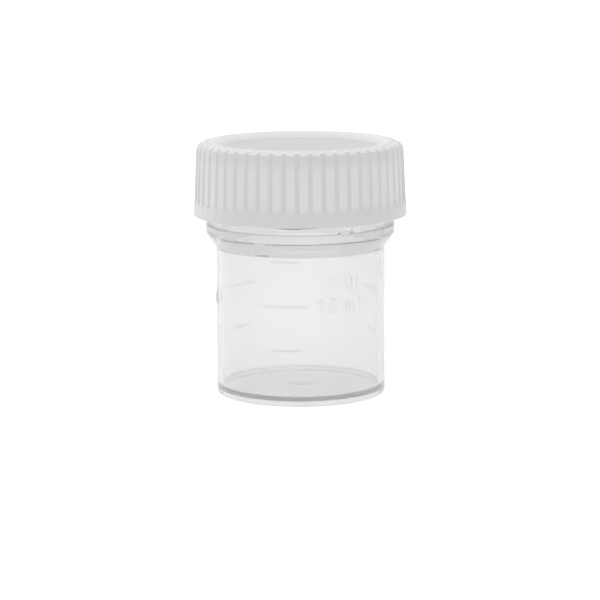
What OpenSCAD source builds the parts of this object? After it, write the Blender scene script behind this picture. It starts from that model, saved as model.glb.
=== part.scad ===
// Screw-cap specimen container, nominal 20 ml: moulded container, ribbed screw cap and sealing disc.
// Millimetres, +Z up. The origin is the centre of the foot ring, on the surface it stands on.
// Angles round the wall are measured from the front, which faces -Y, and are positive to the right.

/* [Container] */
// Outside diameter of the straight tube
body_d = 30.5; // [20:0.1:60]
// Wall thickness of the tube and the flare
wall = 1.1; // [0.8:0.05:1.8]
// Height of the foot ring below the floor
foot_h = 0.9; // [0.5:0.05:3]
// Thickness of the floor
floor_t = 0.7; // [0.6:0.05:3]
// Height at which the flare starts
tube_h = 26.5; // [14:0.5:90]

/* [Collar and neck] */
// How far the neck stands outside the tube, on the radius
neck_step = 0.9; // [0.8:0.05:2]
// Width of the ledge on top of the collar
ledge_w = 0.85; // [0.5:0.05:2]
// Height of the flare between the tube and the collar
flare_h = 2.7; // [2.4:0.1:8]
// Height of the collar's upright face
collar_h = 1.5; // [0.8:0.1:5]
// Wall thickness of the neck
neck_wall = 1.1; // [0.8:0.05:1.7]
// Height of the neck above the collar
neck_h = 11.7; // [9:0.1:24]

/* [Thread] */
// Rise of the cap for one turn
pitch = 4; // [3:0.1:6]
// Height of the thread ridges
thread_h = 0.8; // [0.5:0.05:1.2]
// Radial gap between a ridge and the wall that faces it
thread_gap = 0.3; // [0.15:0.05:0.6]
// Gap between the ridges' flanks when the cap is closed
flank_gap = 0.12; // [0.08:0.01:0.3]

/* [Cap] */
// Gap between the collar and the closed cap
cap_gap = 1.6; // [0.8:0.1:3]
// Thickness of the skirt between two ribs, at its top
skirt_t = 1.06; // [0.8:0.05:2]
// Thickness of the cap's top
top_t = 1.15; // [0.8:0.05:2.5]
// Depth of the recess in the top
recess_h = 1.1; // [0.5:0.05:2]
// Width of the recess's sloping wall
recess_run = 1.6; // [0.5:0.05:3]
// Width of the flat rim round the recess
rim_flat = 1.1; // [0.5:0.05:3]
// Radius of the ribs' rounded shoulder
shoulder_r = 1.8; // [1:0.1:2.1]
// Height of the smooth band below the ribs
band_h = 2.4; // [1.5:0.1:5]
// Slope of the skirt, in degrees from upright
draft = 2.6; // [0:0.1:4]

/* [Ribs] */
// Number of ribs round the cap
rib_count = 50; // [24:2:60]
// Width of a rib
rib_w = 0.95; // [0.4:0.05:1.2]
// Height of a rib above the skirt
rib_h = 0.3; // [0.2:0.02:0.8]

/* [Sealing disc] */
// Thickness of the sealing disc
disc_t = 0.8; // [0.5:0.05:2]

/* [Graduations] */
// Volume between two marks, in millilitres
mark_ml = 5; // [5:1:20]
// How far the marks stand out of the wall
mark_h = 0.15; // [0.1:0.01:0.3]
// Width of a mark's line
mark_w = 0.45; // [0.3:0.05:0.8]
// Number of identical sets of marks round the tube
mark_sets = 3; // [1:1:3]

/* [Hidden] */
$fn = 128;
FRONT = -90;

// Container radii and heights, from the foot up
foot_round = 0.4;
foot_w = 0.7;
floor_round = 0.35;
edge_round = 0.15;
rim_round = 0.35;
gate_r = 2;
gate_h = 0.25;
body_r = body_d / 2;
bore_r = body_r - wall;
neck_r = body_r + neck_step;
mouth_r = neck_r - neck_wall;
collar_r = neck_r + ledge_w;
floor_z = foot_h + floor_t;
collar_z = tube_h + flare_h;
ledge_z = collar_z + collar_h;
rim_z = ledge_z + neck_h;

// The flare's inner face runs beside its outer face, one wall away
flare_slope = (collar_r - body_r) / flare_h;
flare_wall = wall * sqrt(1 + pow(flare_slope, 2));
flare_in_z0 = tube_h + (bore_r + flare_wall - body_r) / flare_slope;
flare_in_z1 = tube_h + (mouth_r + flare_wall - body_r) / flare_slope;

// Thread: both ridges follow one right-handed helix, the cap's a little below the neck's
thread_steps = 48;
thread_root_w = 1.6;
thread_crest_w = 0.7;
thread_sink = 0.4;
thread_taper = 25;
thread_foot = 1.7;
thread_head = 3;
neck_thread_z = ledge_z + thread_foot;
neck_thread_a = FRONT - 20;
neck_turns = (neck_h - thread_foot - thread_head) / pitch;
cap_in_r = neck_r + thread_h + thread_gap;
ridge_taper_w = (thread_root_w - thread_crest_w) * (thread_h + thread_gap) / thread_h / 2;
ridge_offset = thread_root_w - ridge_taper_w + flank_gap;

// Cap radii and heights
cap_z = ledge_z + cap_gap;
cap_in_z = rim_z + disc_t;
recess_z = cap_in_z + top_t;
cap_top_z = recess_z + recess_h;
skirt_top_r = cap_in_r + skirt_t;
rib_top_r = skirt_top_r + rib_h;
shoulder_z = cap_top_z - shoulder_r;
rim_out_r = rib_top_r - shoulder_r;
rim_in_r = rim_out_r - rim_flat;
recess_r = rim_in_r - recess_run;
band_z = cap_z + band_h;
band_proud = 0.05;
band_step = 0.3;
panel_drop = 0.6;
lead_in = 0.6;
cap_thread_foot = 1.3;
cap_thread_z = cap_z + cap_thread_foot;
cap_turns = (rim_z - thread_head - cap_thread_z) / pitch;
cap_thread_a = neck_thread_a + 360 * (cap_thread_z + ridge_offset - neck_thread_z) / pitch;
rib_sink = skirt_t / 2;
rib_phase = 1.9;

// Sealing disc and the bead that keeps it in the cap
disc_r = cap_in_r - 0.45;
bead_in_r = neck_r + thread_gap;
bead_low_z = rim_z - 0.6;
bead_high_z = rim_z - 0.1;

// Stop lug on the collar's ledge, and the flat pad below it on the flare
lug_clear = 0.25;
lug_h = cap_gap - lug_clear;
lug_t = 0.5;
lug_sink = 0.2;
lug_foot_h = 0.3;
lug_a = 24;
lug_foot_span = 9.6;
lug_post_span = 2;
lug_inset = 0.08;
pad_a = -29;
pad_span = 8;
pad_h = 0.12;
pad_margin = 0.3;

// Marks: heights from the volume below them, angles from the front
mark_sink = 0.3;
mark_top_clear = 0.25;
mark_lift = 0.4;
mark_step = mark_ml * 1000 / (PI * pow(bore_r, 2));
mark_zero = floor_z + mark_lift;
mark_count = floor((tube_h - mark_top_clear - mark_w / 2 - mark_zero) / mark_step);
long_a = -25;
long_span = 28.7;
short_a = -19.5;
short_span = 18.8;
letter_h = 2.9;
small_h = 2;
stroke = 0.42;
one_a = 13.2;
nought_a = 21.9;
m_a = 34.6;
l_a = 43.3;

// Points of an arc in a profile, from angle a0 to angle a1
function arc(centre, radius, a0, a1, steps = 8) = [
    for (i = [0:steps])
        let (a = a0 + (a1 - a0) * i / steps)
            centre + radius * [cos(a), sin(a)]
];

// Radius of the ribs' outer edge at a height
function rib_r(z) = rib_top_r + (shoulder_z - z) * tan(draft);

// Half the width of a thread ridge, a given height above its root
function ridge_half(above) =
    thread_root_w / 2 - (thread_root_w - thread_crest_w) / 2 * above / thread_h;

// One ring of four corners of a ridge: its side away from the axis comes second and third
function ridge_ring(root_r, out, rise, a, z) =
    let (base_r = root_r - out * thread_sink)
    let (crest_r = root_r + out * rise)
    let (base_half = ridge_half(-thread_sink))
    let (crest_half = ridge_half(rise))
    let (low_r = min(base_r, crest_r))
    let (high_r = max(base_r, crest_r))
    let (low_half = out > 0 ? base_half : crest_half)
    let (high_half = out > 0 ? crest_half : base_half)
    [
        [low_r * cos(a), low_r * sin(a), z - low_half],
        [high_r * cos(a), high_r * sin(a), z - high_half],
        [high_r * cos(a), high_r * sin(a), z + high_half],
        [low_r * cos(a), low_r * sin(a), z + low_half]
    ];

// A thread ridge on a wall of radius root_r, outwards if out is 1 and inwards if it is -1.
// Its ends run into the wall over thread_taper degrees.
module ridge(root_r, out, z0, a0, turns) {
    n = ceil(turns * thread_steps);
    span = turns * 360;
    rings = [
        for (i = [0:n])
            let (a = span * i / n)
                let (grown = min(1, a / thread_taper, (span - a) / thread_taper))
                    ridge_ring(root_r, out, (thread_h + 0.05) * grown - 0.05, a0 + a, z0 + pitch * a / 360)
    ];
    sides = [
        for (i = [0:n - 1], k = [0:3], half = [0, 1])
            let (a = 4 * i + k)
                let (b = 4 * i + (k + 1) % 4)
                    half == 0 ? [a, b, b + 4] : [a, b + 4, a + 4]
    ];
    ends = [[3, 2, 1], [3, 1, 0], [4 * n, 4 * n + 1, 4 * n + 2], [4 * n, 4 * n + 2, 4 * n + 3]];
    polyhedron([for (ring = rings, corner = ring) corner], concat(sides, ends), convexity = 8);
}

// A block that stands on a round wall: its section is turned through span degrees from angle a
module round_block(a, span) {
    rotate([0, 0, FRONT + a]) rotate_extrude(angle = span) children();
}

// Wall of the container, from the centre of its underside round to the centre of its floor
module container_shell() {
    foot_in_r = body_r - foot_round - foot_w;
    rotate_extrude() polygon(concat(
        [[0, floor_z], [0, foot_h], [foot_in_r - edge_round, foot_h], [foot_in_r, foot_h - edge_round]],
        [[foot_in_r, edge_round], [foot_in_r + edge_round, 0]],
        arc([body_r - foot_round, foot_round], foot_round, -90, 0),
        [[body_r, tube_h], [collar_r, collar_z], [collar_r, ledge_z - edge_round]],
        [[collar_r - edge_round, ledge_z], [neck_r, ledge_z]],
        arc([neck_r - rim_round, rim_z - rim_round], rim_round, 0, 90),
        arc([mouth_r + rim_round, rim_z - rim_round], rim_round, 90, 180),
        [[mouth_r, flare_in_z1], [bore_r, flare_in_z0]],
        arc([bore_r - floor_round, floor_z + floor_round], floor_round, 0, -90)
    ));
}

// L-shaped lug on the collar's ledge, under the closed cap's edge
module stop_lug() {
    foot_r = collar_r - edge_round - lug_inset;
    post_r = foot_r - 0.05;
    round_block(lug_a, lug_foot_span - lug_post_span / 2)
        translate([foot_r - lug_t, ledge_z - lug_sink]) square([lug_t, lug_foot_h + lug_sink]);
    round_block(lug_a + lug_foot_span - lug_post_span, lug_post_span)
        translate([post_r - lug_t, ledge_z - lug_sink]) square([lug_t, lug_h + lug_sink]);
}

// Thin pad on the flare
module flare_pad() {
    z0 = tube_h + pad_margin;
    z1 = collar_z - pad_margin;
    r0 = body_r + pad_margin * flare_slope;
    r1 = collar_r - pad_margin * flare_slope;
    round_block(pad_a, pad_span) polygon([
        [r0 - 0.3, z0], [r0 + pad_h, z0], [r1 + pad_h, z1], [r1 - 0.3, z1]
    ]);
}

// A raised line round part of the tube
module mark_line(z, a, span) {
    round_block(a, span)
        translate([body_r - mark_sink, z - mark_w / 2]) square([mark_sink + mark_h, mark_w]);
}

// A raised character at an angle, its foot at height z
module on_wall(a, z) {
    rotate([0, 0, a]) translate([0, -(body_r - mark_sink), z])
        rotate([90, 0, 0]) linear_extrude(mark_sink + mark_h) children();
}

module bar(x, h) {
    translate([x - stroke / 2, 0]) square([stroke, h]);
}

function oval(w, h) = [for (i = [0:31]) [w / 2 * cos(i * 11.25), h / 2 * sin(i * 11.25)]];

module digit_one() {
    bar(0.25, letter_h);
    polygon([[0.3, letter_h], [-0.5, letter_h - 0.75], [-0.5, letter_h - 1.2], [0.3, letter_h - 0.5]]);
}

module digit_nought() {
    translate([0, letter_h / 2]) difference() {
        polygon(oval(1.85, letter_h));
        polygon(oval(1.85 - 2 * stroke, letter_h - 2 * stroke));
    }
}

module letter_m() {
    arch_w = 0.82;
    for (side = [-1, 0, 1]) bar(side * arch_w, side < 0 ? small_h : small_h - 0.4);
    for (side = [-1, 1]) translate([side * arch_w / 2, small_h - arch_w / 2 - stroke / 2])
        intersection() {
            difference() {
                circle(d = arch_w + stroke);
                circle(d = arch_w - stroke);
            }
            translate([-arch_w, 0]) square([2 * arch_w, arch_w]);
        }
}

// One set of marks: a long line at every second mark, with its number, and short lines between
module mark_set() {
    for (i = [1:mark_count]) {
        z = mark_zero + i * mark_step;
        if (i % 2 == 0) mark_line(z, long_a, long_span);
        else mark_line(z, short_a, short_span);
    }
    if (mark_count >= 2) {
        base_z = mark_zero + 2 * mark_step - letter_h / 2;
        on_wall(one_a, base_z) digit_one();
        on_wall(nought_a, base_z) digit_nought();
        on_wall(m_a, base_z) letter_m();
        on_wall(l_a, base_z) bar(0, letter_h);
    }
}

module container() {
    color("gainsboro", 0.6) union() {
        container_shell();
        translate([0, 0, foot_h - gate_h]) cylinder(h = gate_h + floor_t / 2, r = gate_r);
        ridge(neck_r, 1, neck_thread_z, neck_thread_a, neck_turns);
        stop_lug();
        flare_pad();
        for (i = [0:mark_sets - 1]) rotate([0, 0, i * 360 / mark_sets]) mark_set();
    }
}

// Cap without its ribs and thread, from the skirt's lower edge round to the centre of its underside
module cap_shell() {
    rotate_extrude() polygon([
        [cap_in_r + lead_in / 2, cap_z],
        [rib_r(cap_z) + band_proud - edge_round, cap_z],
        [rib_r(cap_z + edge_round) + band_proud, cap_z + edge_round],
        [rib_r(band_z) + band_proud, band_z],
        [rib_r(band_z + band_step) - rib_h, band_z + band_step],
        [skirt_top_r + panel_drop * tan(draft), cap_top_z - panel_drop],
        [rim_out_r, cap_top_z],
        [rim_in_r, cap_top_z],
        [recess_r, recess_z],
        [0, recess_z],
        [0, cap_in_z],
        [cap_in_r, cap_in_z],
        [cap_in_r, bead_high_z],
        [bead_in_r, (bead_low_z + bead_high_z) / 2],
        [cap_in_r, bead_low_z],
        [cap_in_r, cap_z + lead_in]
    ]);
}

// One rib: it follows the skirt's slope and rounds over the shoulder to the flat rim
module rib() {
    low_z = band_z - 0.5;
    in_r = rib_top_r - rib_h - rib_sink;
    rotate([90, 0, 0]) linear_extrude(rib_w, center = true) polygon(concat(
        [[in_r, low_z], [rib_r(low_z), low_z]],
        arc([rim_out_r, shoulder_z], shoulder_r, 0, 90),
        [[rim_out_r, cap_top_z - panel_drop], [in_r, cap_in_z + 0.2]]
    ));
}

module screw_cap() {
    color("white") union() {
        cap_shell();
        for (i = [0:rib_count - 1]) rotate([0, 0, rib_phase + i * 360 / rib_count]) rib();
        ridge(cap_in_r, -1, cap_thread_z, cap_thread_a, cap_turns);
    }
}

module sealing_disc() {
    color("whitesmoke") translate([0, 0, rim_z]) cylinder(h = disc_t, r = disc_r);
}

container();
screw_cap();
sealing_disc();
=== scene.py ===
"""Looks of a screw-cap specimen container: a clear container, a ribbed cap and a sealing disc.

Lengths in the classes are in millimetres and angles in degrees. Angles round the wall are
measured from the front, which faces -Y, and are positive to the right. Meshes are in metres.
"""

from __future__ import annotations

import logging
import math
from dataclasses import dataclass, field
from enum import Enum
from typing import Sequence

import bmesh
import bpy
import numpy as np
from mathutils import Matrix, Vector

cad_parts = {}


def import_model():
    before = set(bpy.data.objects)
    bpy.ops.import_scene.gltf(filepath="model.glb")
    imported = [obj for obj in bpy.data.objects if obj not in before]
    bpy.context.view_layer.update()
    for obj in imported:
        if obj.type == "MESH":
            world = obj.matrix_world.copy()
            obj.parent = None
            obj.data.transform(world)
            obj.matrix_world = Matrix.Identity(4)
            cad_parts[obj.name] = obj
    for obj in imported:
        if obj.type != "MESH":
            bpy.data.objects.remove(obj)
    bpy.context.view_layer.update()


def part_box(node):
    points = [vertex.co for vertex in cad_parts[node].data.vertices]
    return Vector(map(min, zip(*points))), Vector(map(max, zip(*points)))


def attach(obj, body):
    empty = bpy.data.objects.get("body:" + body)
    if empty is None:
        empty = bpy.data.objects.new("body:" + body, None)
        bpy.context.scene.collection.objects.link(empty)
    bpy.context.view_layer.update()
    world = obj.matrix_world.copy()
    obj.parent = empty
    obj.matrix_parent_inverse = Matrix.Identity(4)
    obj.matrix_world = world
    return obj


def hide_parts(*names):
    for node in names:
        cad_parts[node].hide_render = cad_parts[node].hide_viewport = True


log = logging.getLogger("container")

Colour = tuple[float, float, float]
Span = tuple[float, float]
Node = bpy.types.Node
Socket = bpy.types.NodeSocket
Mesh = bpy.types.Mesh
Object = bpy.types.Object
Material = bpy.types.Material

MM = 0.001
FRONT = -90.0
FULL_TURN = 360.0
WELD = 1e-6
ON_AXIS = 1e-6
TINY = 1e-12
# Attribute with the cap's painted light and shade.
PAINTED_SHADING = "painted_shading"
# Attribute with painted shade on the container's marks.
MARK_SHADE = "mark"
WHITE = (1, 1, 1, 1)
NOISE_SPAN = (0.3, 0.7)
NEARLY_STRAIGHT = math.radians(88)
MOST_OF_SIDE = 0.45
GUARD_SHARE = 0.04


class Body(Enum):
    """The CAD bodies that pieces ride on."""

    CONTAINER = "container"
    DISC = "disc"
    CAP = "cap"


class Slot(Enum):
    """The record's material slots."""

    CLEAR = "clear_plastic"
    WHITE = "white_plastic"
    FOAM = "disc_plastic"


# Finishes


def set_inputs(node: Node, **values: object) -> None:
    """Set a node's inputs."""
    for name, value in values.items():
        node.inputs[name.replace("_", " ")].default_value = value


class Tree:
    """A short way to add and join nodes."""

    def __init__(self, nodes: bpy.types.NodeTree) -> None:
        """Start on a node tree."""
        self.tree = nodes

    def add(self, kind: str, **values: object) -> Node:
        """Add a node and set its properties or inputs.

        Args:
            kind: The node's type name.
            **values: Properties by name, or inputs by name with underscores for spaces.

        Returns:
            The new node.
        """
        node = self.tree.nodes.new(kind)
        for name, value in values.items():
            if hasattr(node, name):
                setattr(node, name, value)
            else:
                set_inputs(node, **{name: value})
        return node

    def join(self, source: Socket, node: Node, entry: str | int) -> None:
        """Link an output to a node's input."""
        self.tree.links.new(source, node.inputs[entry])

    def math(self, operation: str, *terms: Socket | float, clamp: bool = False) -> Socket:
        """Work out a value from others.

        Args:
            operation: What the Math node does.
            *terms: Its inputs, each another node's output or a number.
            clamp: Whether the result is kept between 0 and 1.

        Returns:
            The output with the result.
        """
        node = self.add("ShaderNodeMath", operation=operation, use_clamp=clamp)
        for number, term in enumerate(terms):
            if isinstance(term, float):
                node.inputs[number].default_value = term
            else:
                self.join(term, node, number)
        return node.outputs[0]

    def remap(self, source: Socket, old: Span, new: Span, smooth: bool = False) -> Socket:
        """Carry a value over from one span to another.

        Args:
            source: The output with the value.
            old: The span that it lies in; outside, it is held at the nearer end.
            new: The span that it goes to.
            smooth: Whether it leaves and reaches the ends smoothly.

        Returns:
            The output with the new value.
        """
        node = self.add("ShaderNodeMapRange", From_Min=old[0], From_Max=old[1])
        set_inputs(node, To_Min=new[0], To_Max=new[1])
        node.interpolation_type = "SMOOTHSTEP" if smooth else "LINEAR"
        self.join(source, node, "Value")
        return node.outputs["Result"]

    def blend(self, share: Socket, colours: Sequence[Colour]) -> Socket:
        """Blend evenly from the first colour to the last as a share goes from 0 to 1.

        Args:
            share: The output with the share.
            colours: The colours, in order.

        Returns:
            The output with the blended colour.
        """
        ramp = self.add("ShaderNodeValToRGB")
        stops = ramp.color_ramp.elements
        stops[0].color, stops[1].color = (*colours[0], 1), (*colours[-1], 1)
        for number, colour in enumerate(colours[1:-1], 1):
            stops.new(number / (len(colours) - 1)).color = (*colour, 1)
        self.join(share, ramp, "Fac")
        return ramp.outputs["Color"]

    def stored(self, name: str) -> Socket:
        """Read a number that is stored on the mesh."""
        return self.add("ShaderNodeAttribute", attribute_name=name).outputs["Fac"]

    def noise(self, scale: float, detail: float, stretch: Colour = (1, 1, 1)) -> Socket:
        """Add a noise pattern on the piece's own coordinates.

        Args:
            scale: Waves per metre.
            detail: Octaves of finer noise.
            stretch: Scale of the coordinates along each axis.

        Returns:
            The output with the pattern.
        """
        place = self.add("ShaderNodeTexCoord")
        mapping = self.add("ShaderNodeMapping", Scale=stretch)
        noise = self.add("ShaderNodeTexNoise", Scale=scale, Detail=detail)
        self.join(place.outputs["Object"], mapping, "Vector")
        self.join(mapping.outputs["Vector"], noise, "Vector")
        return noise.outputs["Fac"]

    def bump(self, shader: Node, pattern: Socket, strength: float, height: float) -> None:
        """Drive a shader's normal from a pattern.

        Args:
            shader: The shader that gets the normal.
            pattern: The pattern's output.
            strength: How strongly the bump tilts the surface.
            height: The height of a full step, in metres.
        """
        bump = self.add("ShaderNodeBump", Strength=strength, Distance=height)
        self.join(pattern, bump, "Height")
        self.join(bump.outputs["Normal"], shader, "Normal")


def blank_material(name: str) -> tuple[Material, Tree, Node]:
    """Make a material with one Principled shader.

    Args:
        name: The material's name.

    Returns:
        The material, its tree and the shader.
    """
    material = bpy.data.materials.new(name)
    material.use_nodes = True
    shader = material.node_tree.nodes["Principled BSDF"]
    return material, Tree(material.node_tree), shader


@dataclass(frozen=True)
class ClearPlastic:
    """Natural polypropylene: clear, hazy inside, with a slightly wavy surface, and painted shade
    on its raised marks.
    """

    tint: Colour = (1.0, 0.995, 0.998)
    mark_shade: Colour = (0.82, 0.81, 0.8)
    ior: float = 1.49
    roughness: Span = (0.02, 0.04)
    wave_scale: float = 260.0
    wave_stretch: Colour = (1, 1, 0.35)
    wave_strength: float = 0.25
    wave_height: float = 0.00002
    haze: float = 280.0
    forward: float = 0.3

    def material(self) -> Material:
        """Build the material.

        Returns:
            The finished material.
        """
        material, tree, shader = blank_material("clear_plastic")
        # Painted shade: the raised marks and the pad's edges are tinted darker.
        tint = tree.blend(tree.stored(MARK_SHADE), (self.tint, self.mark_shade))
        tree.join(tint, shader, "Base Color")
        set_inputs(shader, Transmission_Weight=1.0, IOR=self.ior)
        wave = tree.noise(self.wave_scale, 1.0, self.wave_stretch)
        tree.join(tree.remap(wave, NOISE_SPAN, self.roughness), shader, "Roughness")
        tree.bump(shader, wave, self.wave_strength, self.wave_height)
        haze = tree.add("ShaderNodeVolumeScatter", Density=self.haze, Anisotropy=self.forward)
        set_inputs(haze, Color=WHITE)
        output = material.node_tree.nodes["Material Output"]
        tree.join(haze.outputs["Volume"], output, "Volume")
        return material


@dataclass(frozen=True)
class WhitePlastic:
    """White polyethylene from a satin mould, with painted shade where the plastic is solid and
    painted highlights on its edges, standing in for light that comes through it.
    """

    # Painted light: the first colour is a painted highlight, the last is painted shade for solid
    # places.
    edge: Colour = (0.97, 0.955, 0.95)
    thin: Colour = (0.8, 0.787, 0.785)
    painted_shade: Colour = (0.7, 0.687, 0.685)
    ior: float = 1.52
    roughness: Span = (0.34, 0.42)
    patches: float = 0.08
    patch_scale: float = 140.0
    grain_scale: float = 5200.0
    grain_strength: float = 0.15
    grain_height: float = 0.000008

    def material(self) -> Material:
        """Build the material.

        Returns:
            The finished material.
        """
        material, tree, shader = blank_material("white_plastic")
        patches = tree.noise(self.patch_scale, 3.0)
        uneven = tree.remap(patches, NOISE_SPAN, (-self.patches, self.patches))
        # Painted light and shade: the stored value blends from the painted highlight through plain
        # white to painted shade.
        painted_shading = tree.math("ADD", uneven, tree.stored(PAINTED_SHADING))
        share = tree.remap(painted_shading, (-1.0, 1.0), (0.0, 1.0))
        tree.join(tree.blend(share, (self.edge, self.thin, self.painted_shade)), shader, "Base Color")
        tree.join(tree.remap(patches, NOISE_SPAN, self.roughness), shader, "Roughness")
        set_inputs(shader, IOR=self.ior)
        grain = tree.noise(self.grain_scale, 2.0)
        tree.bump(shader, grain, self.grain_strength, self.grain_height)
        return material


@dataclass(frozen=True)
class FoamSheet:
    """Matt foamed polyethylene, cut from a sheet."""

    light: Colour = (0.86, 0.86, 0.84)
    dark: Colour = (0.76, 0.76, 0.74)
    roughness: float = 0.75
    cell_scale: float = 2600.0
    cell_strength: float = 0.4
    cell_height: float = 0.00005

    def material(self) -> Material:
        """Build the material.

        Returns:
            The finished material.
        """
        material, tree, shader = blank_material("foam_sheet")
        place = tree.add("ShaderNodeTexCoord")
        cells = tree.add("ShaderNodeTexVoronoi", Scale=self.cell_scale)
        tree.join(place.outputs["Object"], cells, "Vector")
        distance = cells.outputs["Distance"]
        tree.join(tree.blend(distance, (self.light, self.dark)), shader, "Base Color")
        set_inputs(shader, Roughness=self.roughness)
        tree.bump(shader, distance, self.cell_strength, self.cell_height)
        return material


# Profiles and grids


@dataclass(frozen=True)
class Corner:
    """A corner of a profile: its radius from the axis, its height, and how far it is rounded."""

    r: float
    z: float
    rounding: float = 0.0


def rounded(corners: Sequence[Corner], steps: int = 5, guard: float = 0.05) -> list[Span]:
    """Round the corners of an open profile.

    Each arc gets a point a little before and after it, which keeps the straight stretches flat.

    Args:
        corners: The profile's corners; the first and last stay sharp.
        steps: Stretches in each arc.
        guard: Distance of the extra points from an arc.

    Returns:
        The profile's points as (radius, height).
    """
    points: list[Span] = [(corners[0].r, corners[0].z)]
    for before, corner, after in zip(corners, corners[1:], corners[2:]):
        here = np.array([corner.r, corner.z])
        back = np.array([before.r, before.z]) - here
        ahead = np.array([after.r, after.z]) - here
        reach = min(np.linalg.norm(back), np.linalg.norm(ahead))
        back, ahead = back / np.linalg.norm(back), ahead / np.linalg.norm(ahead)
        half = math.acos(float(np.clip(back @ ahead, -1, 1))) / 2
        if corner.rounding <= 0 or half > NEARLY_STRAIGHT:
            points.append((corner.r, corner.z))
            continue
        cut = min(corner.rounding / math.tan(half), reach * MOST_OF_SIDE)
        radius = cut * math.tan(half)
        middle = here + (back + ahead) / np.linalg.norm(back + ahead) * radius / math.sin(half)
        start, end = here + back * cut - middle, here + ahead * cut - middle
        sweep = math.acos(float(np.clip(start @ end / radius**2, -1, 1)))
        margin = min(guard, reach * GUARD_SHARE)
        points.append(tuple(here + back * (cut + margin)))
        for i in range(steps + 1):
            a = sweep * i / steps
            turned = (math.sin(sweep - a) * start + math.sin(a) * end) / math.sin(sweep)
            points.append(tuple(middle + turned))
        points.append(tuple(here + ahead * (cut + margin)))
    points.append((corners[-1].r, corners[-1].z))
    return points


def smooth_step(x: np.ndarray) -> np.ndarray:
    """Rise smoothly from 0 to 1 as x does."""
    x = np.clip(x, 0, 1)
    return x * x * (3 - 2 * x)


@dataclass
class Grid:
    """Rows of points round the axis; a row on the axis becomes one point."""

    radii: np.ndarray
    heights: np.ndarray
    angles: np.ndarray
    wraps: bool = True

    def mesh(self, name: str) -> Mesh:
        """Turn the grid into a mesh.

        Args:
            name: The mesh's name.

        Returns:
            The mesh, in metres.
        """
        turns = np.radians(self.angles + FRONT)
        x = self.radii * np.cos(turns)
        y = self.radii * np.sin(turns)
        points = np.stack([x, y, self.heights * np.ones_like(x)], axis=-1) * MM
        rows, columns = self.radii.shape
        index = np.arange(rows * columns).reshape(rows, columns)
        for row in range(rows):
            if np.all(self.radii[row] < ON_AXIS):
                index[row] = index[row, 0]
        count = columns if self.wraps else columns - 1
        faces = []
        for row in range(rows - 1):
            for column in range(count):
                following = (column + 1) % columns
                corners = [index[row, column], index[row, following]]
                corners += [index[row + 1, following], index[row + 1, column]]
                face = list(dict.fromkeys(int(c) for c in corners))
                if len(face) > 2:
                    faces.append(face)
        used = sorted({v for face in faces for v in face})
        renumber = {old: new for new, old in enumerate(used)}
        places = [tuple(place) for place in points.reshape(-1, 3)[used]]
        mesh = bpy.data.meshes.new(name)
        mesh.from_pydata(places, [], [[renumber[v] for v in face] for face in faces])
        mesh.update()
        return mesh


def thinned(values: list[float], least: float) -> np.ndarray:
    """Sort values and drop each that lies too close to the one before.

    Args:
        values: The values.
        least: The least step between two kept values.

    Returns:
        The kept values.
    """
    values = sorted(values)
    kept = values[:1]
    for value in values[1:]:
        if value - kept[-1] > least:
            kept.append(value)
    return np.array(kept)


def lathe(profile: Sequence[Span], angles: np.ndarray, wraps: bool = True) -> Grid:
    """A grid that follows one profile at every angle."""
    rows = np.array(profile)
    return Grid(rows[:, :1] * np.ones((1, len(angles))), rows[:, 1:], angles, wraps)


def store(mesh: Mesh, name: str, values: np.ndarray) -> None:
    """Store a number at each point of a mesh, for its finish to read."""
    mesh.attributes.new(name, "FLOAT", "POINT").data.foreach_set("value", values)


def places_of(mesh: Mesh) -> tuple[np.ndarray, np.ndarray, np.ndarray]:
    """Where a mesh's points are.

    Args:
        mesh: The mesh.

    Returns:
        Radii and heights in millimetres, and angles from the front.
    """
    points = np.empty(len(mesh.vertices) * 3)
    mesh.vertices.foreach_get("co", points)
    x, y, z = (points.reshape(-1, 3) / MM).T
    return np.hypot(x, y), z, np.degrees(np.arctan2(y, x)) - FRONT


def new_object(name: str, mesh: Mesh) -> Object:
    """Put a mesh into the scene as an object.

    Args:
        name: The object's name.
        mesh: Its mesh.

    Returns:
        The object.
    """
    mesh.name = name
    piece = bpy.data.objects.new(name, mesh)
    bpy.context.scene.collection.objects.link(piece)
    return piece


def welded(meshes: Sequence[Mesh], name: str) -> Mesh:
    """Join meshes into one, merge the points they share and shade it smooth.

    Args:
        meshes: The meshes to join, which are removed.
        name: The new mesh's name.

    Returns:
        The joined mesh.
    """
    whole = bmesh.new()
    for mesh in meshes:
        whole.from_mesh(mesh)
        bpy.data.meshes.remove(mesh)
    bmesh.ops.remove_doubles(whole, verts=whole.verts, dist=WELD)
    joined = bpy.data.meshes.new(name)
    whole.to_mesh(joined)
    whole.free()
    joined.polygons.foreach_set("use_smooth", [True] * len(joined.polygons))
    return joined


def closed(mesh: Mesh, bevel: float = 0.0, sharp: float = 40.0) -> Mesh:
    """Close the two open ends of a strip.

    Args:
        mesh: A strip whose section comes back to its first point.
        bevel: Width of the bevel on the sharp edges, if any.
        sharp: The least angle of a sharp edge.

    Returns:
        The same mesh, closed.
    """
    shell = bmesh.new()
    shell.from_mesh(mesh)
    bmesh.ops.remove_doubles(shell, verts=shell.verts, dist=WELD)
    bmesh.ops.holes_fill(shell, edges=[e for e in shell.edges if e.is_boundary])
    bmesh.ops.recalc_face_normals(shell, faces=shell.faces)
    if bevel:
        least = math.radians(sharp)
        paired = [e for e in shell.edges if len(e.link_faces) == 2]
        edges = [e for e in paired if e.calc_face_angle() > least]
        bmesh.ops.bevel(
            shell, geom=edges, offset=bevel * MM, segments=2, affect="EDGES", profile=0.5
        )
    shell.to_mesh(mesh)
    shell.free()
    return mesh


def dressed(name: str, meshes: Sequence[Mesh], finish: Material) -> Object:
    """Make one piece of several meshes.

    Args:
        name: The piece's name.
        meshes: Its meshes, which are removed.
        finish: Its only material.

    Returns:
        The piece.
    """
    piece = new_object(name, welded(meshes, name))
    piece.data.materials.clear()
    piece.data.materials.append(finish)
    return piece


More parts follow.
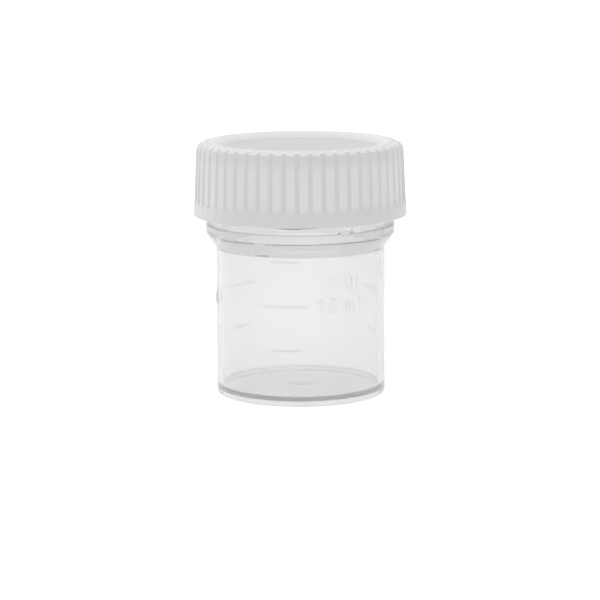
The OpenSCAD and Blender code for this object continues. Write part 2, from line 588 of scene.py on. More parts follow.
class TurnedCopies:
    """A Geometry Nodes tree that repeats a mesh round the axis and makes it one mesh."""

    def __init__(self) -> None:
        """Build the tree."""
        self.tree = bpy.data.node_groups.new("turned_copies", "GeometryNodeTree")
        side = self.tree.interface
        side.new_socket("Geometry", in_out="INPUT", socket_type="NodeSocketGeometry")
        self.count = side.new_socket("Copies", in_out="INPUT", socket_type="NodeSocketInt")
        self.finish = side.new_socket("Finish", in_out="INPUT", socket_type="NodeSocketMaterial")
        side.new_socket("Geometry", in_out="OUTPUT", socket_type="NodeSocketGeometry")
        nodes = Tree(self.tree)
        entry, result = nodes.add("NodeGroupInput"), nodes.add("NodeGroupOutput")
        places = nodes.add("GeometryNodeMeshLine", mode="OFFSET", Offset=(0, 0, 0))
        index = nodes.add("GeometryNodeInputIndex").outputs["Index"]
        share = nodes.math("DIVIDE", index, entry.outputs["Copies"])
        about_axis = nodes.add("ShaderNodeCombineXYZ")
        nodes.join(nodes.math("MULTIPLY", share, math.tau), about_axis, "Z")
        copies = nodes.add("GeometryNodeInstanceOnPoints")
        real = nodes.add("GeometryNodeRealizeInstances")
        dress = nodes.add("GeometryNodeSetMaterial")
        wires = (
            (entry, "Copies", places, "Count"),
            (places, "Mesh", copies, "Points"),
            (entry, "Geometry", copies, "Instance"),
            (about_axis, "Vector", copies, "Rotation"),
            (copies, "Instances", real, "Geometry"),
            (real, "Geometry", dress, "Geometry"),
            (entry, "Finish", dress, "Material"),
            (dress, "Geometry", result, "Geometry"),
        )
        for source, output, node, target in wires:
            nodes.join(source.outputs[output], node, target)

    def repeat(self, mesh: Mesh, count: int, finish: Material) -> Mesh:
        """Repeat a mesh round the axis.

        Args:
            mesh: The mesh of one copy, which is removed.
            count: How many copies go round.
            finish: The material of all copies.

        Returns:
            One plain mesh with every copy.
        """
        piece = new_object(mesh.name, mesh)
        modifier = piece.modifiers.new("copies", "NODES")
        modifier.node_group = self.tree
        modifier[self.count.identifier] = count
        modifier[self.finish.identifier] = finish
        graph = bpy.context.evaluated_depsgraph_get()
        made = bpy.data.meshes.new_from_object(piece.evaluated_get(graph))
        piece.modifiers.remove(modifier)
        bpy.data.objects.remove(piece)
        bpy.data.meshes.remove(mesh)
        return made


# Marks on the tube


@dataclass(frozen=True)
class Stroke:
    """One line of a mark: its points along and up the wall, from the mark's own place."""

    points: tuple[tuple[float, float], ...]

    def distance(self, u: np.ndarray, v: np.ndarray) -> np.ndarray:
        """Distance of places on the wall from the stroke's middle line.

        Args:
            u: Places along the wall.
            v: Places up the wall.

        Returns:
            The distances, in millimetres.
        """
        nearest = np.full(np.broadcast(u, v).shape, np.inf)
        for (ax, ay), (bx, by) in zip(self.points, self.points[1:]):
            dx, dy = bx - ax, by - ay
            length = max(dx * dx + dy * dy, TINY)
            t = np.clip(((u - ax) * dx + (v - ay) * dy) / length, 0, 1)
            nearest = np.minimum(nearest, np.hypot(u - ax - t * dx, v - ay - t * dy))
        return nearest


def arc_points(middle: Span, half: Span, ends: Span, steps: int) -> tuple[Span, ...]:
    """Points along an oval arc.

    Args:
        middle: Its centre, along and up the wall.
        half: Half its width and half its height.
        ends: Its first and last angle.
        steps: Stretches between the points.

    Returns:
        The arc's points.
    """
    (x, y), (a, b), (start, end) = middle, half, ends
    turns = [math.radians(start + (end - start) * i / steps) for i in range(steps + 1)]
    return tuple((x + a * math.cos(t), y + b * math.sin(t)) for t in turns)


@dataclass(frozen=True)
class Character:
    """A raised character at an angle round the tube."""

    angle: float
    half_width: float
    strokes: tuple[Stroke, ...]


@dataclass(frozen=True)
class MarkStyle:
    """Sizes of the raised marks: sets of three lines, with a number beside the long middle one."""

    height: float = 0.08
    line_w: float = 0.45
    soft: float = 0.06
    letter_h: float = 2.9
    small_h: float = 2.0
    stroke: float = 0.42
    stem_x: float = 0.25
    flag: Span = (0.65, 0.6)
    nought_w: float = 1.85
    arch_r: float = 0.41
    nought_steps: int = 40
    arch_steps: int = 14
    step_ml: float = 5.0
    long_line: Span = (-25.0, 3.7)
    short_line: Span = (-19.5, -0.7)

    def line(self, number: int) -> Span:
        """The angles where a line starts and ends; the second one is long."""
        return self.long_line if number == 2 else self.short_line

    def characters(self) -> tuple[Character, ...]:
        """The characters of "10 ml", each from its foot line up.

        Returns:
            The four characters.
        """
        half = self.stroke / 2
        top, small = self.letter_h - half, self.small_h - half
        stem, (run, drop) = self.stem_x, self.flag
        flag = Stroke(((stem, top), (stem - run, top - drop)))
        one = (Stroke(((stem, half), (stem, top))), flag)
        middle = self.letter_h / 2
        ring = (self.nought_w / 2 - half, middle - half)
        nought = (Stroke(arc_points((0, middle), ring, (0, 360), self.nought_steps)),)
        arch = self.arch_r
        m = [Stroke(((-2 * arch, half), (-2 * arch, small)))]
        for x in (-arch, arch):
            bow = arc_points((x, small - arch), (arch, arch), (180, 0), self.arch_steps)
            m.append(Stroke(bow + ((x + arch, half),)))
        upright = (Stroke(((0.0, half), (0.0, top))),)
        return (
            Character(angle=13.2, half_width=0.75, strokes=one),
            Character(angle=21.9, half_width=1.1, strokes=nought),
            Character(angle=34.6, half_width=1.2, strokes=tuple(m)),
            Character(angle=43.3, half_width=0.4, strokes=upright),
        )


@dataclass(frozen=True)
class MarkMesh:
    """How closely the tube's mesh follows the marks."""

    fine: float = 0.1
    coarse_angle: float = 3.0
    lead_angle: float = 8.0
    clear_angle: float = 1.0
    end_columns: float = 3.2
    closest_column: float = 0.45
    line_rows: tuple[float, ...] = (0.0, 0.12, 0.165, 0.21, 0.25, 0.3, 0.36)
    letter_margin: float = 0.15
    plain_rows: int = 8
    closest_row: float = 0.035


# Pieces


@dataclass(frozen=True)
class Thread:
    """A right-handed thread ridge: its section and the helix that it follows."""

    pitch: float = 4.0
    height: float = 0.8
    root_w: float = 1.6
    crest_w: float = 0.7
    taper: float = 25.0
    fillet: float = 0.1

    def rise(
        self, angle: np.ndarray, z: np.ndarray, start_z: float, start_a: float, turns: float
    ) -> np.ndarray:
        """How far the ridge stands out of its wall at places on the wall.

        Args:
            angle: Angles round the wall.
            z: Heights.
            start_z: Height of the helix's start.
            start_a: Angle of the helix's start.
            turns: Length of the ridge in turns.

        Returns:
            The rise, from 0 to the ridge's height.
        """
        best = np.zeros(np.broadcast(angle, z).shape)
        phase = np.mod(angle - start_a, FULL_TURN)
        for turn in range(math.ceil(turns) + 1):
            along = phase + turn * FULL_TURN
            centre = start_z + self.pitch * along / FULL_TURN
            ends = np.minimum(along, turns * FULL_TURN - along) / self.taper
            off = np.abs(z - centre)
            flank = (self.root_w / 2 - off) / ((self.root_w - self.crest_w) / 2)
            section = smooth_step(flank * (1 - 2 * self.fillet) + self.fillet)
            best = np.maximum(best, self.height * section * smooth_step(ends))
        return best


@dataclass
class Container:
    """The clear moulded container, from its foot ring to the neck with its thread."""

    collar_r: float
    rim_z: float
    wall: float = 1.1
    foot_h: float = 0.9
    foot_w: float = 0.7
    foot_inset: float = 0.4
    foot_top: float = 1.2
    floor_t: float = 0.7
    floor_round: float = 0.35
    gate_r: float = 2.0
    gate_h: float = 0.25
    gate_draft: float = 0.1
    mark_zero: float = 2.0
    flare_h: float = 2.7
    flare_lead: float = 0.35
    flare_in: Span = (0.7, 2.7)
    collar_h: float = 1.5
    ledge_w: float = 0.85
    neck_h: float = 11.7
    neck_step: float = 0.9
    neck_wall: float = 1.1
    neck_lead: float = 0.3
    neck_row: float = 0.17
    rim_h: float = 1.8
    thread_foot: float = 1.7
    thread_head: float = 3.0
    thread_start: float = -20.0
    lug: tuple[float, float, float] = (24.0, 31.6, 33.6)
    lug_h: Span = (0.3, 1.35)
    lug_t: float = 0.5
    lug_inset: Span = (0.23, 0.28)
    lug_lap: float = 0.5
    lug_sunk: float = 0.02
    lug_bevel: float = 0.04
    lug_columns: int = 5
    pad: Span = (-29.0, -21.0)
    pad_h: float = 0.14
    pad_side: float = 0.4
    pad_ends: float = 0.3
    pad_slope: float = 0.1
    pad_near: float = 0.05
    pad_guard: float = 0.16
    # Painted shade on the pad's left and right edges.
    pad_edge_shade: Span = (1.0, 0.3)
    sets: int = 3
    lines: int = 3
    thread: Thread = field(default_factory=Thread)
    marks: MarkStyle = field(default_factory=MarkStyle)
    closeness: MarkMesh = field(default_factory=MarkMesh)

    def __post_init__(self) -> None:
        """Work out the radii and heights that follow from the others."""
        self.neck_r = self.collar_r - self.ledge_w
        self.body_r = self.neck_r - self.neck_step
        self.mouth_r = self.neck_r - self.neck_wall
        self.bore_r = self.body_r - self.wall
        self.ledge_z = self.rim_z - self.neck_h
        self.collar_z = self.ledge_z - self.collar_h
        self.tube_z = self.collar_z - self.flare_h
        self.floor_z = self.foot_h + self.floor_t
        self.mark_step = self.marks.step_ml * 1000 / (math.pi * self.bore_r**2)
        self.letters_z = self.line_z(2) - self.marks.letter_h / 2
        self.per_degree = math.radians(1) * self.body_r

    def line_z(self, number: int) -> float:
        """Height of a line's middle; the lowest is number 1."""
        return self.mark_zero + number * self.mark_step

    def set_columns(self) -> np.ndarray:
        """Angles of the mesh's columns in one set of marks: close on the marks, else coarse.

        Returns:
            The angles, from the set's start to just before the next set's.
        """
        close = self.closeness
        fine, clear = close.fine / self.per_degree, close.clear_angle
        reach = close.end_columns * fine
        spans = [(a - reach, a + reach) for a in (*self.marks.long_line, *self.marks.short_line)]
        for character in self.marks.characters():
            half = character.half_width / self.per_degree
            spans.append((character.angle - half, character.angle + half))
        columns: list[float] = []
        for start, end in spans:
            columns += list(np.linspace(start, end, max(2, round((end - start) / fine) + 1)))
        low, width = self.marks.long_line[0] - close.lead_angle, FULL_TURN / self.sets
        coarse = np.linspace(low, low + width, round(width / close.coarse_angle) + 1)[:-1]
        for angle in coarse:
            if all(not (start - clear < angle < end + clear) for start, end in spans):
                columns.append(float(angle))
        (start, end), margin = self.pad, self.pad_ends
        inner = (0.0, self.pad_side, self.pad_side + margin)
        columns += [start - margin, end + margin]
        columns += [start + by for by in inner] + [end - by for by in inner]
        return thinned(columns, close.closest_column * fine)

    def tube_rows(self, low: float, high: float) -> np.ndarray:
        """Heights of the mesh's rows on the tube's outside.

        Args:
            low: The lowest row.
            high: The highest row.

        Returns:
            The heights, close together on the marks.
        """
        close, style = self.closeness, self.marks
        heights = [low, high]
        for number in range(1, self.lines + 1):
            middle = self.line_z(number)
            heights += [middle + side * off for off in close.line_rows for side in (-1, 1)]
        count = round((style.letter_h + 2 * close.letter_margin) / close.fine)
        start = self.letters_z - close.letter_margin
        heights += [start + close.fine * i for i in range(count + 1)]
        heights += list(np.linspace(low, high, close.plain_rows))
        rows = thinned(heights, close.closest_row)
        rows[-1] = high
        return rows

    def mark_rise(self, angles: np.ndarray, heights: np.ndarray) -> np.ndarray:
        """How far one set's marks stand out of the tube.

        Args:
            angles: Angles round the tube, as a row.
            heights: Heights, as a column.

        Returns:
            The rise at each place.
        """
        style, scale = self.marks, self.per_degree
        rise = np.zeros(np.broadcast(angles, heights).shape)

        def raise_on(distance: np.ndarray, width: float) -> None:
            """Raise the wall where it is near enough to a stroke's middle line."""
            inside = (width / 2 + style.soft / 2 - distance) / style.soft
            np.maximum(rise, style.height * smooth_step(inside), out=rise)

        for number in range(1, self.lines + 1):
            middle = self.line_z(number)
            start, end = style.line(number)
            line = Stroke(((start * scale, middle), (end * scale, middle)))
            raise_on(line.distance(angles * scale, heights), style.line_w)
        for character in style.characters():
            u, v = (angles - character.angle) * scale, heights - self.letters_z
            for stroke in character.strokes:
                raise_on(stroke.distance(u, v), style.stroke)
        return rise

    def flare_profile(self) -> list[Span]:
        """Profile from the tube's top over the flare, the collar and its ledge to the neck's foot.

        Returns:
            Its points; the extra ones near the flare's ends follow the pad's ends.
        """
        ends = self.pad_ends
        rows = (ends, ends + self.pad_slope, ends + self.pad_guard)
        shares = [by / self.flare_h for by in rows]
        shares += [1 - share for share in reversed(shares)]
        wide, tall = self.collar_r - self.body_r, self.flare_h
        return rounded(
            [
                Corner(self.body_r, self.tube_z - self.flare_lead),
                Corner(self.body_r, self.tube_z, 0.6),
                *[Corner(self.body_r + wide * t, self.tube_z + tall * t) for t in shares],
                Corner(self.collar_r, self.collar_z, 0.3),
                Corner(self.collar_r, self.ledge_z, 0.15),
                Corner(self.neck_r, self.ledge_z, 0.12),
                Corner(self.neck_r, self.ledge_z + self.neck_lead),
            ],
            steps=4,
        )

    def rim_profile(self) -> list[Span]:
        """Profile from the top of the neck over the rim and down inside to the floor's centre.

        Returns:
            Its points.
        """
        low, high = (self.tube_z + up for up in self.flare_in)
        return rounded(
            [
                Corner(self.neck_r, self.rim_z - self.rim_h),
                Corner(self.neck_r, self.rim_z, 0.35),
                Corner(self.mouth_r, self.rim_z, 0.35),
                Corner(self.mouth_r, high, 0.35),
                Corner(self.bore_r, low, 3.0),
                Corner(self.bore_r, self.floor_z, self.floor_round),
                Corner(0.0, self.floor_z),
            ],
            steps=7,
        )

    def foot_profile(self) -> list[Span]:
        """Profile from the underside's centre over the foot ring to the tube's outside.

        Returns:
            Its points.
        """
        inner_r = self.body_r - self.foot_inset - self.foot_w
        gate_z = self.foot_h - self.gate_h
        return rounded(
            [
                Corner(0.0, gate_z),
                Corner(self.gate_r, gate_z, 0.1),
                Corner(self.gate_r + self.gate_draft, self.foot_h, 0.1),
                Corner(inner_r, self.foot_h, 0.3),
                Corner(inner_r, 0.0, 0.15),
                Corner(self.body_r, 0.0, 0.4),
                Corner(self.body_r, self.foot_top),
            ],
            steps=5,
        )

    def neck_grid(self, columns: np.ndarray, low: float, high: float) -> Grid:
        """The neck's outside with its thread.

        Args:
            columns: Angles of the columns.
            low: The lowest row.
            high: The highest row.

        Returns:
            The grid.
        """
        rows = np.append(np.arange(low, high, self.neck_row), high)[:, None]
        turns = (self.neck_h - self.thread_foot - self.thread_head) / self.thread.pitch
        start_z = self.ledge_z + self.thread_foot
        rise = self.thread.rise(columns[None, :], rows, start_z, self.thread_start, turns)
        rise[0], rise[-1] = 0, 0
        return Grid(self.neck_r + rise, rows, columns)

    def build(self, copies: TurnedCopies, finish: Material) -> Object:
        """Build the container.

        Args:
            copies: Repeats the tube's part with one set of marks.
            finish: The container's material.

        Returns:
            The finished piece.
        """
        one_set = self.set_columns()
        width = FULL_TURN / self.sets
        columns = np.concatenate([one_set + i * width for i in range(self.sets)])
        foot, flare, rim = self.foot_profile(), self.flare_profile(), self.rim_profile()
        angles = np.append(one_set, one_set[0] + width)
        heights = self.tube_rows(foot[-1][1], flare[0][1])[:, None]
        rise = self.mark_rise(angles[None, :], heights)
        rise[0], rise[-1] = 0, 0
        panel = Grid(self.body_r + rise, heights, angles, wraps=False).mesh("tube_panel")
        flare_grid = lathe(flare, columns)
        flare_grid.radii += self.pad_rise(columns[None, :], np.array(flare)[:, 1:])
        meshes = [
            lathe(foot, columns).mesh("foot"),
            copies.repeat(panel, self.sets, finish),
            flare_grid.mesh("flare"),
            self.neck_grid(columns, flare[-1][1], rim[0][1]).mesh("neck"),
            lathe(rim, columns).mesh("rim"),
            self.lug_mesh(),
        ]
        piece = dressed("clear_container", meshes, finish)
        self.store_mark_shade(piece.data)
        return piece

    def store_mark_shade(self, mesh: Mesh) -> None:
        """Store the painted shade on the raised marks and on the edges of the pad on the flare.

        Args:
            mesh: The finished container's mesh.
        """
        r, z, angle = places_of(mesh)
        proud = np.clip((r - self.body_r) / self.marks.height, 0, 1)
        marks = np.where(z < self.tube_z - self.pad_side, proud, 0.0)
        up, margin = z - self.tube_z, self.pad_ends - self.pad_near
        slope = (self.collar_r - self.body_r) / self.flare_h
        outside = r > self.body_r + up * slope - self.pad_slope
        on_flare = (up > margin) & (up < self.flare_h - margin) & outside
        edges = np.zeros_like(z)
        # Painted shade on the pad's edges, fuller on its left edge than on its right.
        for side, share in zip(self.pad, self.pad_edge_shade):
            beside = np.abs(angle - side) < self.pad_side + self.pad_near
            edges = np.where(beside, share, edges)
        store(mesh, MARK_SHADE, np.maximum(marks, edges * on_flare))

    def pad_rise(self, angles: np.ndarray, heights: np.ndarray) -> np.ndarray:
        """How far the thin pad on the flare stands out.

        Args:
            angles: Angles round the flare, as a row.
            heights: Heights, as a column.

        Returns:
            The rise at each place.
        """
        across = np.minimum(angles - self.pad[0], self.pad[1] - angles) / self.pad_side
        low, high = self.tube_z + self.pad_ends, self.collar_z - self.pad_ends
        up = np.minimum(heights - low, high - heights) / self.pad_slope
        return self.pad_h * smooth_step(across) * smooth_step(up)

    def lug_mesh(self) -> Mesh:
        """The L-shaped stop lug on the collar's ledge.

        Returns:
            Its mesh: a low foot and a post at the foot's right end.
        """
        foot_start, post_start, end = self.lug
        spans = ((foot_start, post_start + self.lug_lap), (post_start, end))
        meshes = []
        for (start, stop), height, inset in zip(spans, self.lug_h, self.lug_inset):
            low, high = self.ledge_z - self.lug_sunk, self.ledge_z + height
            outer = self.collar_r - inset
            inner = outer - self.lug_t
            section = [(inner, low), (outer, low), (outer, high), (inner, high), (inner, low)]
            strip = lathe(section, np.linspace(start, stop, self.lug_columns), wraps=False)
            meshes.append(closed(strip.mesh("lug"), self.lug_bevel))
        return welded(meshes, "lug")


@dataclass(frozen=True)
class PaintedShading:
    """Painted light and shade on the cap: -1 is a painted highlight on edges, 0 on a panel, 1 is
    painted shade where it is solid.

    The spans tell where each feature fades in or out, from its own edge.
    """

    rib: float = 0.9
    rib_span: Span = (0.55, 1.0)
    rib_over_band: float = 0.1
    band: float = 0.7
    band_span: Span = (-0.05, 0.15)
    plate: float = 0.75
    plate_span: Span = (-0.6, 1.6)
    plate_rib: float = 0.3
    bend: float = 0.42
    bend_rib: float = 0.55
    bend_span: Span = (-0.7, -0.58)
    bend_lift: float = 0.36
    floor: float = 0.8
    floor_span: Span = (-0.1, -0.02)
    slope: float = 0.28
    rim_in: Span = (-0.3, -0.15)
    rim_out: Span = (-0.35, -0.2)
    rim_margin: float = 0.05
    hidden: Span = (0.2, 0.3)


def past(values: np.ndarray, span: Span) -> np.ndarray:
    """Rise smoothly from 0 to 1 as values go through a span."""
    return smooth_step((values - span[0]) / (span[1] - span[0]))


@dataclass
class ScrewCap:
    """The white ribbed screw cap with its recessed top, and the thread and bead inside."""

    low_z: float
    top_z: float
    low_r: float
    ribs: int = 50
    rib_w: float = 0.95
    rib_h: float = 0.3
    rib_phase: float = -1.7
    rib_columns: tuple[float, ...] = (0.0, 0.15, 0.3, 0.42, 0.54, 0.66, 0.78, 0.9, 1.0)
    panel_columns: tuple[float, ...] = (0.3, 0.4, 0.5)
    draft: float = 2.6
    skirt_t: float = 1.06
    skirt_rows: int = 8
    shoulder: float = 1.8
    shoulder_rows: int = 14
    rim_flat: float = 1.1
    recess_run: float = 1.6
    recess_h: float = 1.1
    top_t: float = 1.15
    band_h: float = 2.4
    band_proud: float = 0.05
    band_step: float = 0.3
    panel_drop: float = 0.6
    bead: Span = (-0.6, -0.1)
    mouth: Span = (0.3, 0.6)
    over_ledge: float = 1.6
    neck_foot: float = 1.7
    neck_head: float = 3.0
    neck_start: float = -20.0
    flank_gap: float = 0.12
    thread_gap: float = 0.3
    thread_foot: float = 1.3
    thread_columns: int = 72
    thread_sunk: float = 0.02
    disc_t: float = 0.8
    thread: Thread = field(default_factory=Thread)
    painted_shading: PaintedShading = field(default_factory=PaintedShading)

    def __post_init__(self) -> None:
        """Work out the radii and heights that follow from the others."""
        self.slope = math.tan(math.radians(self.draft))
        self.shoulder_z = self.top_z - self.shoulder
        self.rib_top_r = self.low_r - self.band_proud - (self.shoulder_z - self.low_z) * self.slope
        self.skirt_top_r = self.rib_top_r - self.rib_h
        self.inner_r = self.skirt_top_r - self.skirt_t
        self.rim_out_r = self.rib_top_r - self.shoulder
        self.rim_in_r = self.rim_out_r - self.rim_flat
        self.recess_r = self.rim_in_r - self.recess_run
        self.recess_z = self.top_z - self.recess_h
        self.inner_z = self.recess_z - self.top_t
        self.rim_z = self.inner_z - self.disc_t
        self.band_z = self.low_z + self.band_h
        self.neck_r = self.inner_r - self.thread.height - self.thread_gap

    def rib_r(self, z: float) -> float:
        """Radius of the ribs' outer edge at a height."""
        return self.rib_top_r + (self.shoulder_z - z) * self.slope

    def sector_columns(self) -> tuple[np.ndarray, np.ndarray]:
        """Angles of the columns in one rib's sector and how far the rib has risen at each.

        Returns:
            The angles, with the sector's two edges, and a share from 0 on the panel to 1.
        """
        pitch = math.tau * self.rib_top_r / self.ribs
        edge = self.rib_w / 2
        half = [edge * x for x in self.rib_columns] + [pitch * x for x in self.panel_columns]
        offsets = np.array([-x for x in half[:0:-1]] + half)
        share = 1 - smooth_step(np.abs(offsets) / edge)
        return offsets / pitch * FULL_TURN / self.ribs + self.rib_phase, share

    def outer_profiles(self) -> tuple[np.ndarray, np.ndarray]:
        """Matching profiles over a panel and over a rib, from the band's top to the flat rim.

        Returns:
            The panel's points and the rib's points, as many of each.
        """
        start_z, corner_z = self.band_z + self.band_step, self.top_z - self.panel_drop
        low_rib = np.array([self.rib_r(start_z), start_z])
        panel = rounded(
            [
                Corner(self.rib_r(start_z) - self.rib_h, start_z),
                Corner(self.skirt_top_r + self.panel_drop * self.slope, corner_z, 0.35),
                Corner(self.rim_out_r, self.top_z),
            ],
            steps=6,
        )
        low_panel, bend = np.array(panel[0]), np.array(panel[1:])
        lengths = np.concatenate([[0], np.cumsum(np.linalg.norm(np.diff(bend, axis=0), axis=1))])
        at = np.linspace(0, 1, self.shoulder_rows) * lengths[-1]
        bend = np.stack([np.interp(at, lengths, bend[:, k]) for k in (0, 1)], axis=1)
        turns = np.radians(np.linspace(0, 90, self.shoulder_rows))
        over_r = self.rim_out_r + self.shoulder * np.cos(turns)
        over = np.stack([over_r, self.shoulder_z + self.shoulder * np.sin(turns)], axis=1)
        rises = np.linspace(0, 1, self.skirt_rows)[:-1, None]
        straight_panel = low_panel + (bend[0] - low_panel) * rises
        straight_rib = low_rib + (over[0] - low_rib) * rises
        return np.concatenate([straight_panel, bend]), np.concatenate([straight_rib, over])

    def sector(self) -> Mesh:
        """One rib's sector of the whole cap.

        Returns:
            Its mesh, from the centre of its underside round to the top's centre.
        """
        angles, share = self.sector_columns()
        bead_low, bead_high = (self.rim_z + up for up in self.bead)
        run, rise = self.mouth
        inside = rounded(
            [
                Corner(0.0, self.inner_z),
                Corner(self.inner_r, self.inner_z, 0.25),
                Corner(self.inner_r, bead_high, 0.05),
                Corner(self.neck_r + self.thread_gap, (bead_low + bead_high) / 2, 0.1),
                Corner(self.inner_r, bead_low, 0.05),
                Corner(self.inner_r, self.low_z + rise, 0.2),
                Corner(self.inner_r + run, self.low_z, 0.12),
                Corner(self.rib_r(self.low_z) + self.band_proud, self.low_z, 0.2),
                Corner(self.rib_r(self.band_z) + self.band_proud, self.band_z),
            ],
            steps=4,
        )
        top = rounded(
            [
                Corner(self.rim_out_r, self.top_z),
                Corner(self.rim_in_r, self.top_z, 0.22),
                Corner(self.recess_r, self.recess_z, 0.45),
                Corner(0.0, self.recess_z),
            ],
            steps=5,
        )
        panel, rib = self.outer_profiles()
        flat = np.ones(len(share))
        inner, upper = np.array(inside)[..., None] * flat, np.array(top)[1:, :, None] * flat
        outer = panel[..., None] + (rib - panel)[..., None] * share
        radii, heights = np.moveaxis(np.concatenate([inner, outer, upper]), 1, 0)
        return Grid(radii, heights, angles, wraps=False).mesh("cap_sector")

    def thread_mesh(self) -> Mesh:
        """The thread ridge on the skirt's inside.

        Returns:
            A closed strip with its foot sunk in the wall.
        """
        thread = self.thread
        start_z = self.low_z + self.thread_foot
        neck_z = self.low_z - self.over_ledge + self.neck_foot
        turns = (self.rim_z - self.neck_head - start_z) / thread.pitch
        reach = (thread.height + self.thread_gap) / thread.height
        overlap = (thread.root_w - thread.crest_w) * reach / 2
        offset = thread.root_w - overlap + self.flank_gap
        start_a = self.neck_start + FULL_TURN * (start_z + offset - neck_z) / thread.pitch
        along = np.linspace(0, turns * FULL_TURN, round(turns * self.thread_columns) + 1)
        grown = smooth_step(np.minimum(along, turns * FULL_TURN - along) / thread.taper)
        low_half = [(-0.3, 1.0), (0.0, 1.0), (0.5, 0.72), (0.9, 0.5), (1.0, 0.4)]
        section = low_half + [(rise, -width) for rise, width in reversed(low_half)]
        section = np.array(section + section[:1])
        rises, widths = section[:, :1], section[:, 1:] * thread.root_w / 2
        out = np.where(rises > 0, rises * grown[None, :], rises)
        sunk = self.thread_sunk
        radii = self.inner_r - (out * (thread.height + sunk) - sunk)
        heights = start_z + thread.pitch * along[None, :] / FULL_TURN + widths
        return closed(Grid(radii, heights, start_a + along, wraps=False).mesh("cap_thread"))

    def build(self, copies: TurnedCopies, finish: Material) -> Object:
        """Build the cap.

        Args:
            copies: Repeats the sector with one rib.
            finish: The cap's material.

        Returns:
            The finished piece.
        """
        shell = copies.repeat(self.sector(), self.ribs, finish)
        piece = dressed("ribbed_cap", [shell, self.thread_mesh()], finish)
        self.store_painted_shading(piece.data)
        return piece

    def store_painted_shading(self, mesh: Mesh) -> None:
        """Store the painted light and shade at each point: painted shade on the ribs, band, plate
        and recess floor, painted light on the recess's slope, painted highlights on the top's
        bends and the rim's edge.

        Args:
            mesh: The finished cap's mesh.
        """
        painted_shading = self.painted_shading
        r, z, angle = places_of(mesh)
        sector = FULL_TURN / self.ribs
        off = np.mod(angle - self.rib_phase + sector / 2, sector) - sector / 2
        across = np.abs(np.radians(off)) * r * 2 / self.rib_w
        # Painted shade on the ribs, the band and the plate under the top.
        rib = (1 - past(across, painted_shading.rib_span)) * (z > self.band_z + painted_shading.rib_over_band)
        band = (1 - past(z - self.band_z, painted_shading.band_span)) * painted_shading.band
        plate = past(z - self.rim_z, painted_shading.plate_span) * painted_shading.plate
        side = np.maximum(np.maximum(rib * painted_shading.rib, band), plate + rib * painted_shading.plate_rib)
        # Painted highlight where the ribs and panels bend over onto the top.
        bend = past(z - self.top_z - rib * painted_shading.bend_lift, painted_shading.bend_span)
        side = side * (1 - bend) - bend * (painted_shading.bend + painted_shading.bend_rib * rib)
        # Painted shade on the recess floor and painted light on its slope.
        floor = past(self.recess_z - z, painted_shading.floor_span)
        inside = floor * painted_shading.floor - (1 - floor) * painted_shading.slope
        # Painted highlight along the rim's inner edge.
        rim = past(r - self.rim_in_r, painted_shading.rim_in) * past(self.rim_in_r - r, painted_shading.rim_out)
        top = np.where(r < self.rim_in_r, inside, 0.0) * (1 - rim) - rim
        value = np.where(r > self.rim_out_r + painted_shading.rim_margin, side, top)
        # Inside, under the top, the colour gets the painted highlight.
        under = (r < self.inner_r + painted_shading.hidden[0]) & (z < self.inner_z + painted_shading.hidden[1])
        store(mesh, PAINTED_SHADING, np.clip(np.where(under, -1.0, value), -1, 1))


@dataclass
class SealingDisc:
    """The foamed disc that lies in the cap and seals on the container's rim."""

    radius: float
    low_z: float
    high_z: float
    edge: float = 0.15
    columns: int = 144

    def build(self, finish: Material) -> Object:
        """Build the disc.

        Args:
            finish: The disc's material.

        Returns:
            The finished piece.
        """
        profile = rounded(
            [
                Corner(0.0, self.low_z),
                Corner(self.radius, self.low_z, self.edge),
                Corner(self.radius, self.high_z, self.edge),
                Corner(0.0, self.high_z),
            ]
        )
        angles = np.arange(self.columns) * FULL_TURN / self.columns
        return dressed("foam_disc", [lathe(profile, angles).mesh("foam_disc")], finish)


# Studio


@dataclass(frozen=True)
class Glow:
    """A soft bright patch of the light tent."""

    towards: tuple[float, float, float]
    edge: float
    full: float
    gain: float


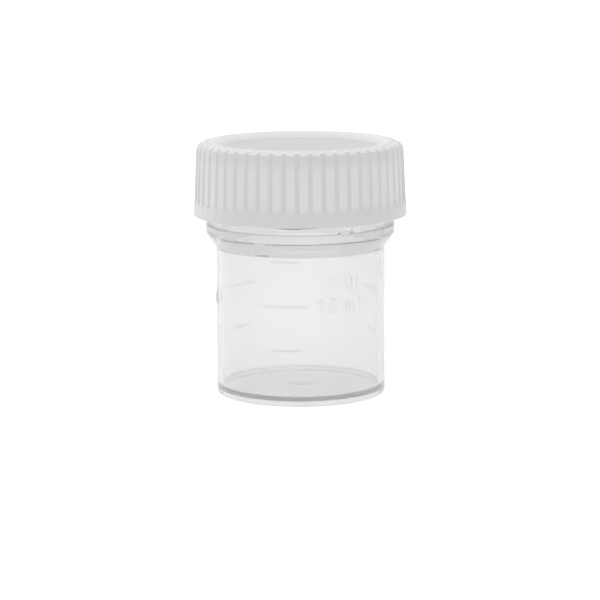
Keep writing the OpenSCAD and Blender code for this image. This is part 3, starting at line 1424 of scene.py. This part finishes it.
@dataclass
class Studio:
    """Camera, floor and light: a white tent, brighter behind than in front."""

    sensor: float = 36.0
    clip: Span = (0.01, 50.0)
    focal_px: float = 2473.0
    frame_px: float = 600.0
    distance: float = 448.0
    elevation: float = 10.06
    aim_z: float = 16.47
    aim_x: float = -0.118
    roll: float = -0.286
    ambient: float = 0.6
    glows: tuple[Glow, ...] = (
        Glow((0, 1, 0.1), 0.0, 0.6, 0.5),
        Glow((-0.03, -0.5, 0.86), 0.5, 0.95, 0.9),
        Glow((-1, 0.1, 0.1), 0.3, 0.9, 0.25),
        Glow((-1, 0.6, 0.1), 0.7, 1.0, 0.6),
        Glow((1, 0.1, 0.1), 0.3, 0.9, 0.25),
    )
    bounces: tuple[tuple[str, int], ...] = (
        ("max_bounces", 32),
        ("transmission_bounces", 24),
        ("glossy_bounces", 24),
        ("volume_bounces", 16),
        ("diffuse_bounces", 6),
    )
    floor_half: float = 4.0
    floor_z: float = -0.02
    floor_roughness: float = 0.3
    floor_glow: float = 0.58
    floor_albedo: float = 0.64
    matt_light: float = 0.71
    gloss_light: float = 0.25

    def add_camera(self) -> None:
        """Place the camera at the object's front, a little above it."""
        data = bpy.data.cameras.new("camera")
        data.sensor_width = self.sensor
        data.lens = data.sensor_width * self.focal_px / self.frame_px
        data.clip_start, data.clip_end = self.clip
        camera = bpy.data.objects.new("camera", data)
        bpy.context.scene.collection.objects.link(camera)
        tilt = math.radians(self.elevation)
        aim = Vector((self.aim_x, 0, self.aim_z)) * MM
        camera.location = aim + Vector((0, -math.cos(tilt), math.sin(tilt))) * self.distance * MM
        upright = Matrix.Rotation(math.radians(90) - tilt, 3, "X")
        turn = Matrix.Rotation(math.radians(self.roll), 3, "Z")
        camera.rotation_euler = (upright @ turn).to_euler()
        bpy.context.scene.camera = camera

    def add_floor(self) -> None:
        """Lay a plain pale floor just under the foot ring."""
        half, z = self.floor_half, self.floor_z * MM
        corners = [(-half, -half, z), (half, -half, z), (half, half, z), (-half, half, z)]
        mesh = bpy.data.meshes.new("floor")
        mesh.from_pydata(corners, [], [(0, 1, 2, 3)])
        floor = new_object("floor", mesh)
        material, tree, shader = blank_material("floor")
        shade = (*[self.floor_albedo] * 3, 1)
        set_inputs(shader, Base_Color=shade, Roughness=self.floor_roughness, Emission_Color=WHITE)
        tree.join(self.seen_or_lighting(tree, self.floor_glow), shader, "Emission Strength")
        floor.data.materials.append(material)

    def seen_or_lighting(self, tree: Tree, strength: float) -> Socket:
        """A light's strength: full where it is seen, less where it lights matt things.

        Args:
            tree: The light's node tree.
            strength: The full strength, which clear plastic also passes on.

        Returns:
            The output with the strength.
        """
        rays = tree.add("ShaderNodeLightPath").outputs
        seen = tree.math("MAXIMUM", rays["Is Camera Ray"], rays["Is Transmission Ray"])
        gloss = rays["Is Glossy Ray"]
        shown = tree.math("MULTIPLY_ADD", gloss, self.gloss_light, seen, clamp=True)
        return tree.remap(shown, (0.0, 1.0), (strength * self.matt_light, strength))

    def add_light(self) -> None:
        """Light the scene with the tent's ambient light and its brighter patches."""
        scene = bpy.context.scene
        scene.world = bpy.data.worlds.new("tent")
        scene.world.use_nodes = True
        tree = Tree(scene.world.node_tree)
        background = tree.tree.nodes["Background"]
        set_inputs(background, Color=WHITE)
        direction = tree.add("ShaderNodeTexCoord").outputs["Generated"]
        total = tree.add("ShaderNodeValue").outputs[0]
        total.default_value = self.ambient
        for glow in self.glows:
            facing = tree.add("ShaderNodeVectorMath", operation="DOT_PRODUCT")
            tree.join(direction, facing, 0)
            facing.inputs[1].default_value = Vector(glow.towards).normalized()
            span = (glow.edge, glow.full)
            patch = tree.remap(facing.outputs["Value"], span, (0.0, glow.gain), smooth=True)
            total = tree.math("ADD", total, patch)
        scaled = tree.math("MULTIPLY", total, self.seen_or_lighting(tree, 1.0))
        tree.join(scaled, background, "Strength")
        scene.view_settings.view_transform = "Standard"
        for kind, limit in self.bounces:
            setattr(scene.cycles, kind, limit)

    def build(self) -> None:
        """Add the camera, the floor and the light."""
        self.add_camera()
        self.add_floor()
        self.add_light()


def settle(piece: Object, body: Body, node: str) -> None:
    """Hang a piece on its body and let it stand for its CAD node.

    Args:
        piece: The finished piece.
        body: The body that it rides on.
        node: The CAD node that it stands for.
    """
    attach(piece, body.value)
    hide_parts(node)
    faces = len(piece.data.polygons)
    log.info("%s: %d faces, on body %s, for node %s", piece.name, faces, body.value, node)


def main() -> None:
    """Build the studio and the three pieces, in order."""
    logging.basicConfig(level=logging.INFO, format="%(name)s: %(message)s")
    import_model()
    Studio().build()
    copies = TurnedCopies()
    finishes = (ClearPlastic(), WhitePlastic(), FoamSheet())
    clear, white, foam = (finish.material() for finish in finishes)

    _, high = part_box("container")
    container = Container(collar_r=high.x / MM, rim_z=high.z / MM)
    settle(container.build(copies, clear), Body.CONTAINER, "container")

    low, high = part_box("screw_cap")
    cap = ScrewCap(low_z=low.z / MM, top_z=high.z / MM, low_r=high.x / MM)
    settle(cap.build(copies, white), Body.CAP, "screw_cap")

    low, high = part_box("sealing_disc")
    disc = SealingDisc(radius=high.x / MM, low_z=low.z / MM, high_z=high.z / MM)
    settle(disc.build(foam), Body.DISC, "sealing_disc")


if __name__ == "__main__":
    main()
